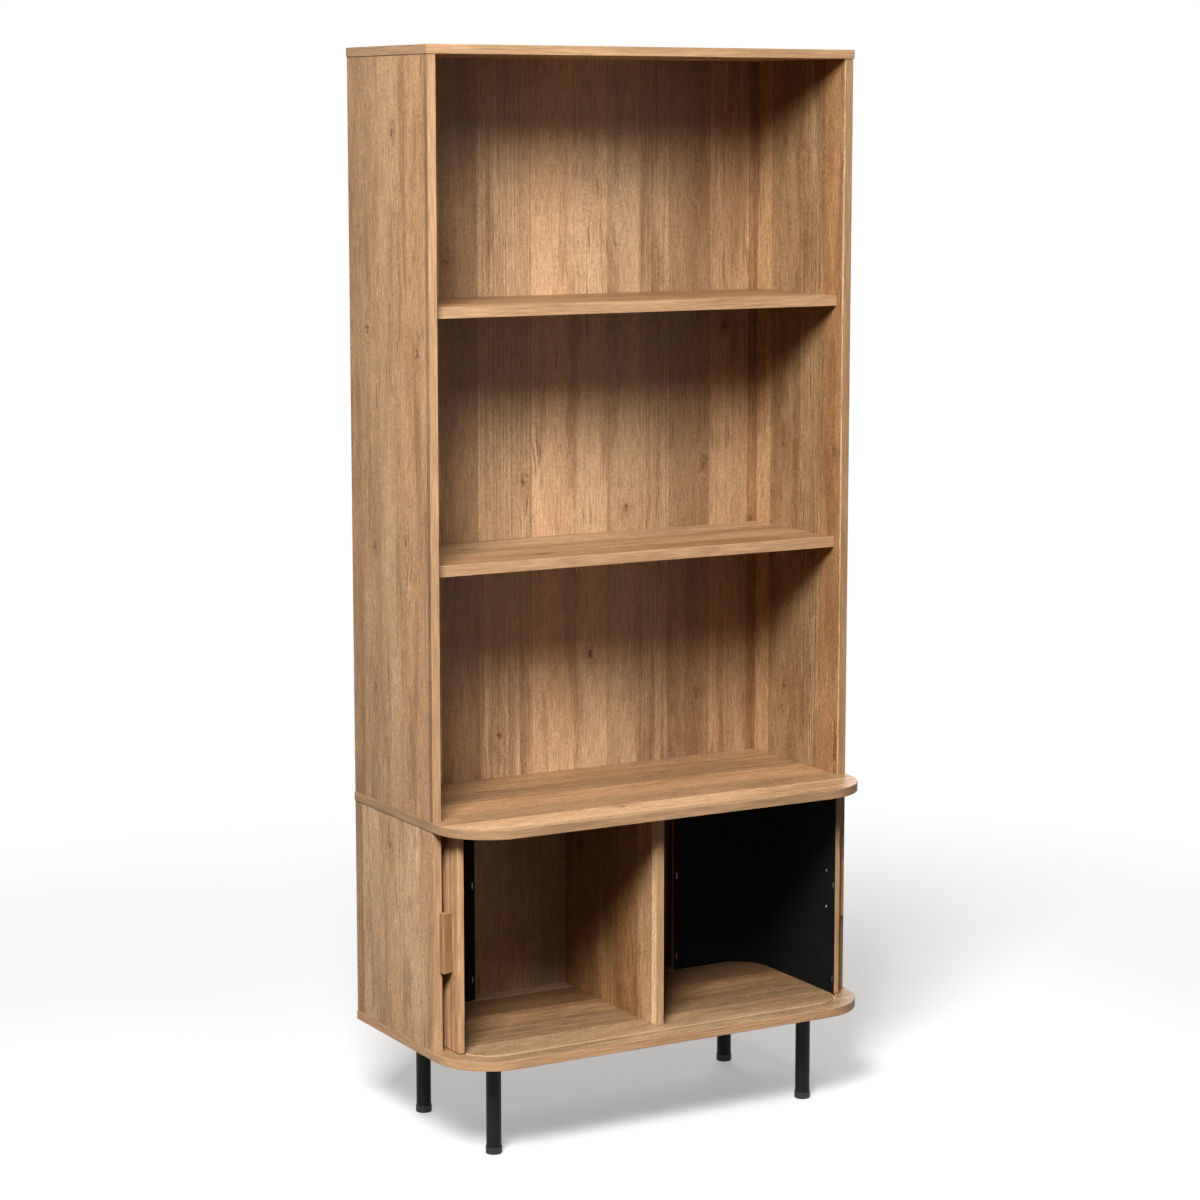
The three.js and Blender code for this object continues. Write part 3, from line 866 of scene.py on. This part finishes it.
def screw_blank(diameter):
    """A pan head with a cross recess, its seat at x = 0 and its top towards +X."""
    height = HEAD_HEIGHT * diameter
    bpy.ops.object.select_all(action="DESELECT")
    bpy.ops.mesh.primitive_cylinder_add(vertices=32, radius=diameter / 2, depth=height,
                                        location=(height / 2, 0, 0), rotation=(0, math.pi / 2, 0))
    screw = bpy.context.active_object
    bpy.ops.object.transform_apply()
    bevel_edges(screw, lambda a, b: min(a.x, b.x) > height - NEAR, HEAD_ROUNDING * height, segments=4)
    arm, slot, floor = RECESS_ARM * diameter, RECESS_SLOT * diameter, RECESS_FLOOR * height
    across = block("recess", (floor, -arm, -slot), (2 * height, arm, slot))
    down = block("recess", (floor, -slot, -arm), (2 * height, slot, arm))
    cut_or_join(across, down, "UNION")
    cut_or_join(screw, across, "DIFFERENCE")
    select_only(screw)
    bpy.ops.object.shade_smooth_by_angle(angle=SMOOTH_ANGLE)
    return screw


class BOOKCASE_OT_screws(bpy.types.Operator):
    """Makes the screws of the handles and the leg plates"""
    bl_idname = "bookcase.screws"
    bl_label = "Screws"

    def execute(self, context):
        settings = context.scene.bookcase_doors
        blank = screw_blank(settings.screw_diameter)
        paint(blank, [zinc_plate()])
        for prefix in SIDES:
            place, out, _ = slat_stations(prefix)[LEADING_SLATS[-1]]
            seat = place - Vector((math.cos(out), math.sin(out))) * settings.backing_thickness / 2
            low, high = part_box(f"{prefix}_handle")
            middle = (low.z + high.z) / 2
            screws = [placed_copy(blank, "screw", Vector((*seat, z)), out + math.pi)
                      for z in (middle - HANDLE_SCREW_SPACING / 2, middle + HANDLE_SCREW_SPACING / 2)]
            settle(joined(f"{prefix}_handle_screws", screws), slat_body(prefix, LEADING_SLATS), "screw_steel")
        for place in LEG_PLACES:
            low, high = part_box(f"leg_{place}")
            plate_under = plate_underside(place)
            screws = []
            for x in (low.x + PLATE_SCREW_INSET, high.x - PLATE_SCREW_INSET):
                for y in (low.y + PLATE_SCREW_INSET, high.y - PLATE_SCREW_INSET):
                    screws.append(placed_copy(blank, "screw", Vector((x, y, plate_under)), tilt=math.pi / 2))
            settle(joined(f"plate_screws_{place}", screws), "case", "screw_steel")
        bpy.data.objects.remove(blank)
        return {"FINISHED"}


class BOOKCASE_OT_staples(bpy.types.Operator):
    """Makes the staples that hold the cloth to each door's first and last slats"""
    bl_idname = "bookcase.staples"
    bl_label = "Staples"

    def execute(self, context):
        settings = context.scene.bookcase_doors
        wire = STAPLE_WIRE / 2
        blank = block("staple_blank", (-wire, -wire, -STAPLE_LENGTH / 2), (wire, wire, STAPLE_LENGTH / 2))
        ease_edges(blank, STAPLE_ROUNDING * wire, segments=3)
        paint(blank, [zinc_plate()])
        for prefix, side in SIDES.items():
            stations = slat_stations(prefix)
            ends = (("leading", SLAT_GROUPS[0], LEADING_SLATS[0], (0, -1)),
                    ("trailing", SLAT_GROUPS[-1], LAST_SLAT, (-side, 0)))
            for end, group, number, towards_end in ends:
                place, out, width = stations[number]
                face = Vector((math.cos(out), math.sin(out))) * settings.backing_thickness / 2
                place = place - face + Vector(towards_end) * (width / 2 - STAPLE_INSET)
                staples = [placed_copy(blank, "staple", Vector((*place, z)), out)
                           for z in STAPLE_HEIGHTS[prefix][end]]
                settle(joined(f"{prefix}_{end}_staples", staples), slat_body(prefix, group), "screw_steel")
        bpy.data.objects.remove(blank)
        return {"FINISHED"}


# Legs

LEG_PLACES = ("front_left", "front_right", "back_left", "back_right")


def plate_underside(place):
    """The height of a leg plate's underside: the second highest level in the leg's mesh, to 0.01 mm."""
    levels = sorted({round(point.co.z, 5) for point in frame["nodes"][f"leg_{place}"].data.vertices})
    return levels[-2]


class LegSettings(bpy.types.PropertyGroup):
    edge_radius: bpy.props.FloatProperty(
        name="Edge radius", description="Rounding of the plates' and caps' edges",
        default=0.4 * MM, min=0.1 * MM, max=1 * MM, precision=4, unit="LENGTH")
    weld_size: bpy.props.FloatProperty(
        name="Weld size", description="Radius of the weld bead between tube and plate",
        default=1.6 * MM, min=0.5 * MM, max=3 * MM, precision=4, unit="LENGTH")


class BOOKCASE_OT_legs(bpy.types.Operator):
    """Makes the steel tube legs with their welded plates"""
    bl_idname = "bookcase.legs"
    bl_label = "Legs"

    def execute(self, context):
        settings = context.scene.bookcase_legs
        coat = powder_coat()
        for place in LEG_PLACES:
            piece = copy_of(f"leg_{place}", f"leg_{place}_coated")
            ease_edges(piece, settings.edge_radius)
            cap_low, cap_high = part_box(f"foot_cap_{place}")
            middle = (cap_low + cap_high) / 2
            points = [vertex.co for vertex in frame["nodes"][f"leg_{place}"].data.vertices]
            tube_radius = max(math.hypot(point.x - middle.x, point.y - middle.y) for point in points
                              if point.z < cap_high.z)
            bpy.ops.object.select_all(action="DESELECT")
            bpy.ops.mesh.primitive_torus_add(
                location=(middle.x, middle.y, plate_underside(place)), major_segments=48, minor_segments=10,
                major_radius=tube_radius, minor_radius=settings.weld_size)
            weld = bpy.context.active_object
            bpy.ops.object.transform_apply()
            bpy.ops.object.shade_smooth()
            piece = joined(f"leg_{place}_coated", [piece, weld])
            paint(piece, [coat])
            settle(piece, "case", "leg_steel", f"leg_{place}")
        return {"FINISHED"}


class BOOKCASE_OT_foot_caps(bpy.types.Operator):
    """Makes the moulded caps on the legs' feet"""
    bl_idname = "bookcase.foot_caps"
    bl_label = "Foot caps"

    def execute(self, context):
        settings = context.scene.bookcase_legs
        plastic = moulded_plastic()
        for place in LEG_PLACES:
            piece = copy_of(f"foot_cap_{place}", f"foot_cap_{place}_moulded")
            ease_edges(piece, settings.edge_radius / 2)
            paint(piece, [plastic])
            settle(piece, "case", "foot_plastic", f"foot_cap_{place}")
        return {"FINISHED"}


# Stage

KEY_PLACE = Vector((-2.10, -2.40, 3.35))
TOP_PLACE = Vector((0.10, -1.05, 3.70))
BACK_PLACE = Vector((1.60, 3.00, 2.40))
LIGHT_AIM = Vector((0, 0, 0.35))
KEY_SPREAD = math.radians(110)
TOP_SIZE = 1.2
BACK_SIZE = 2.5
FLOOR_RADIUS = 20.0
# What the floor sends back to the object is darker than what the camera sees
FLOOR_BOUNCE = "#4F4B46"
# The floor fades to plain white between these distances, from this share of white on
FADE_START, FADE_END = 0.9, 2.6
FADE_FROM = 0.35
# The camera, as fitted to the photograph
IMAGE_WIDTH = 1200
FOCAL_PIXELS = 3157.7
SENSOR_WIDTH = 36
CAMERA_PLACE = Vector((-2625.7, -4530.0, 1663.7)) * MM
CAMERA_YAW = math.radians(29.749)
CAMERA_PITCH = math.radians(8.522)
CAMERA_REACH = 100


class StageSettings(bpy.types.PropertyGroup):
    floor_colour: bpy.props.FloatVectorProperty(
        name="Floor colour", description="Colour of the pale studio floor",
        default=linear("#F1F0EE")[:3], min=0, max=1, subtype="COLOR")
    key_power: bpy.props.FloatProperty(
        name="Key light", description="Power of the soft box at the upper left",
        default=115.0, min=0, unit="POWER")
    key_size: bpy.props.FloatProperty(
        name="Key size", description="Side of the square soft box",
        default=1.3, min=0.1, unit="LENGTH")
    top_power: bpy.props.FloatProperty(
        name="Top light", description="Power of the soft box overhead, a little in front",
        default=34.0, min=0, unit="POWER")
    back_power: bpy.props.FloatProperty(
        name="Back light", description="Power of the weak light behind, which shows the back",
        default=58.0, min=0, unit="POWER")
    sky_level: bpy.props.FloatProperty(
        name="Room light", description="Strength of the light from all round",
        default=0.045, min=0)


def soft_box(name, place, size, power, spread=math.pi):
    """A square area light that looks at the cabinet."""
    turn = (LIGHT_AIM - place).to_track_quat("-Z", "Y").to_euler()
    bpy.ops.object.light_add(type="AREA", location=place, rotation=turn)
    lamp = bpy.context.active_object
    lamp.name = lamp.data.name = name
    lamp.data.shape = "SQUARE"
    lamp.data.size = size
    lamp.data.energy = power
    lamp.data.spread = spread


def seen_directly(tree):
    """1 for what the camera, or a mirror or glass, sees, and 0 for light that falls on the object."""
    path = add(tree, "LightPath").outputs
    seen = add(tree, "Math", {0: path["Is Camera Ray"], 1: path["Is Glossy Ray"]}, operation="MAXIMUM")
    return add(tree, "Math", {0: seen, 1: path["Is Transmission Ray"]}, operation="MAXIMUM")


def studio_paper(colour):
    """White studio paper, which fades to plain white far off, so that the floor has no edge."""
    material, tree, place = new_material("studio_paper_white")
    distance = add(tree, "VectorMath", {0: place}, operation="LENGTH").outputs["Value"]
    fade = add(tree, "MapRange", {
        "Value": distance, "From Min": FADE_START, "From Max": FADE_END, "To Min": FADE_FROM, "To Max": 1.0},
        interpolation_type="SMOOTHSTEP")
    fade = add(tree, "Math", {0: fade, 1: seen_directly(tree)}, operation="MULTIPLY")
    shown = add(tree, "Mix", {0: seen_directly(tree), 6: linear(FLOOR_BOUNCE), 7: colour}, data_type="RGBA")
    paper = add(tree, "BsdfDiffuse", {"Color": shown})
    white = add(tree, "Emission", {"Color": (1, 1, 1, 1), "Strength": 1.0})
    return finished(material, add(tree, "MixShader", {0: fade, 1: paper, 2: white}))


def studio_surround(sky_level):
    """A world that the camera sees as white, and that lights the object only a little."""
    world = bpy.data.worlds.new("studio_surround")
    world.use_nodes = True
    tree = world.node_tree
    tree.nodes.clear()
    strength = add(tree, "Mix", {0: seen_directly(tree), 2: sky_level, 3: 1.0}, data_type="FLOAT")
    surround = add(tree, "Background", {"Color": (1, 1, 1, 1), "Strength": strength})
    add(tree, "OutputWorld", {"Surface": surround})
    return world


def photograph_camera():
    """The camera at the photograph's place, with its direction and focal length."""
    level = math.cos(CAMERA_PITCH)
    forward = Vector((math.sin(CAMERA_YAW) * level, math.cos(CAMERA_YAW) * level, -math.sin(CAMERA_PITCH)))
    bpy.ops.object.camera_add(location=CAMERA_PLACE)
    camera = bpy.context.active_object
    camera.rotation_mode = "QUATERNION"
    camera.rotation_quaternion = forward.to_track_quat("-Z", "Y")
    camera.data.sensor_width = SENSOR_WIDTH
    camera.data.lens = SENSOR_WIDTH * FOCAL_PIXELS / IMAGE_WIDTH
    camera.data.clip_end = CAMERA_REACH
    return camera


class BOOKCASE_OT_stage(bpy.types.Operator):
    """Makes the pale floor, the white surround, the soft lights and the camera"""
    bl_idname = "bookcase.stage"
    bl_label = "Stage"

    def execute(self, context):
        settings = context.scene.bookcase_stage
        bpy.ops.object.select_all(action="DESELECT")
        bpy.ops.mesh.primitive_circle_add(vertices=96, radius=FLOOR_RADIUS, fill_type="NGON")
        floor = context.active_object
        floor.name = "studio_floor"
        floor.data.materials.append(studio_paper((*settings.floor_colour, 1)))
        context.scene.world = studio_surround(settings.sky_level)
        soft_box("key_soft_box", KEY_PLACE, settings.key_size, settings.key_power, KEY_SPREAD)
        soft_box("top_soft_box", TOP_PLACE, TOP_SIZE, settings.top_power)
        soft_box("back_soft_box", BACK_PLACE, BACK_SIZE, settings.back_power)
        context.scene.camera = photograph_camera()
        context.scene.view_settings.view_transform = "Standard"
        return {"FINISHED"}


# Sidebar

STEPS = (BOOKCASE_OT_boards, BOOKCASE_OT_backs, BOOKCASE_OT_slats, BOOKCASE_OT_backing, BOOKCASE_OT_handles,
         BOOKCASE_OT_screws, BOOKCASE_OT_staples, BOOKCASE_OT_legs, BOOKCASE_OT_foot_caps, BOOKCASE_OT_stage)
SETTINGS = {"bookcase_boards": BoardSettings, "bookcase_doors": DoorSettings, "bookcase_legs": LegSettings,
            "bookcase_stage": StageSettings}


class BOOKCASE_PT_sidebar(bpy.types.Panel):
    """Lists the settings and the operators that make the bookcase's pieces"""
    bl_idname = "BOOKCASE_PT_sidebar"
    bl_label = "Bookcase"
    bl_space_type = "VIEW_3D"
    bl_region_type = "UI"
    bl_category = "Bookcase"

    def draw(self, context):
        for name, group in SETTINGS.items():
            box = self.layout.box()
            for key in group.__annotations__:
                box.prop(getattr(context.scene, name), key)
        for step in STEPS:
            self.layout.operator(step.bl_idname)


def register():
    for each in (*SETTINGS.values(), *STEPS, BOOKCASE_PT_sidebar):
        bpy.utils.register_class(each)
    for name, group in SETTINGS.items():
        setattr(bpy.types.Scene, name, bpy.props.PointerProperty(type=group))


def unregister():
    for name in SETTINGS:
        delattr(bpy.types.Scene, name)
    for each in reversed((*SETTINGS.values(), *STEPS, BOOKCASE_PT_sidebar)):
        bpy.utils.unregister_class(each)


def main():
    register()
    bpy.ops.bookcase.boards()
    bpy.ops.bookcase.backs()
    bpy.ops.bookcase.slats()
    bpy.ops.bookcase.backing()
    bpy.ops.bookcase.handles()
    bpy.ops.bookcase.screws()
    bpy.ops.bookcase.staples()
    bpy.ops.bookcase.legs()
    bpy.ops.bookcase.foot_caps()
    bpy.ops.bookcase.stage()


if __name__ == "__main__":
    main()
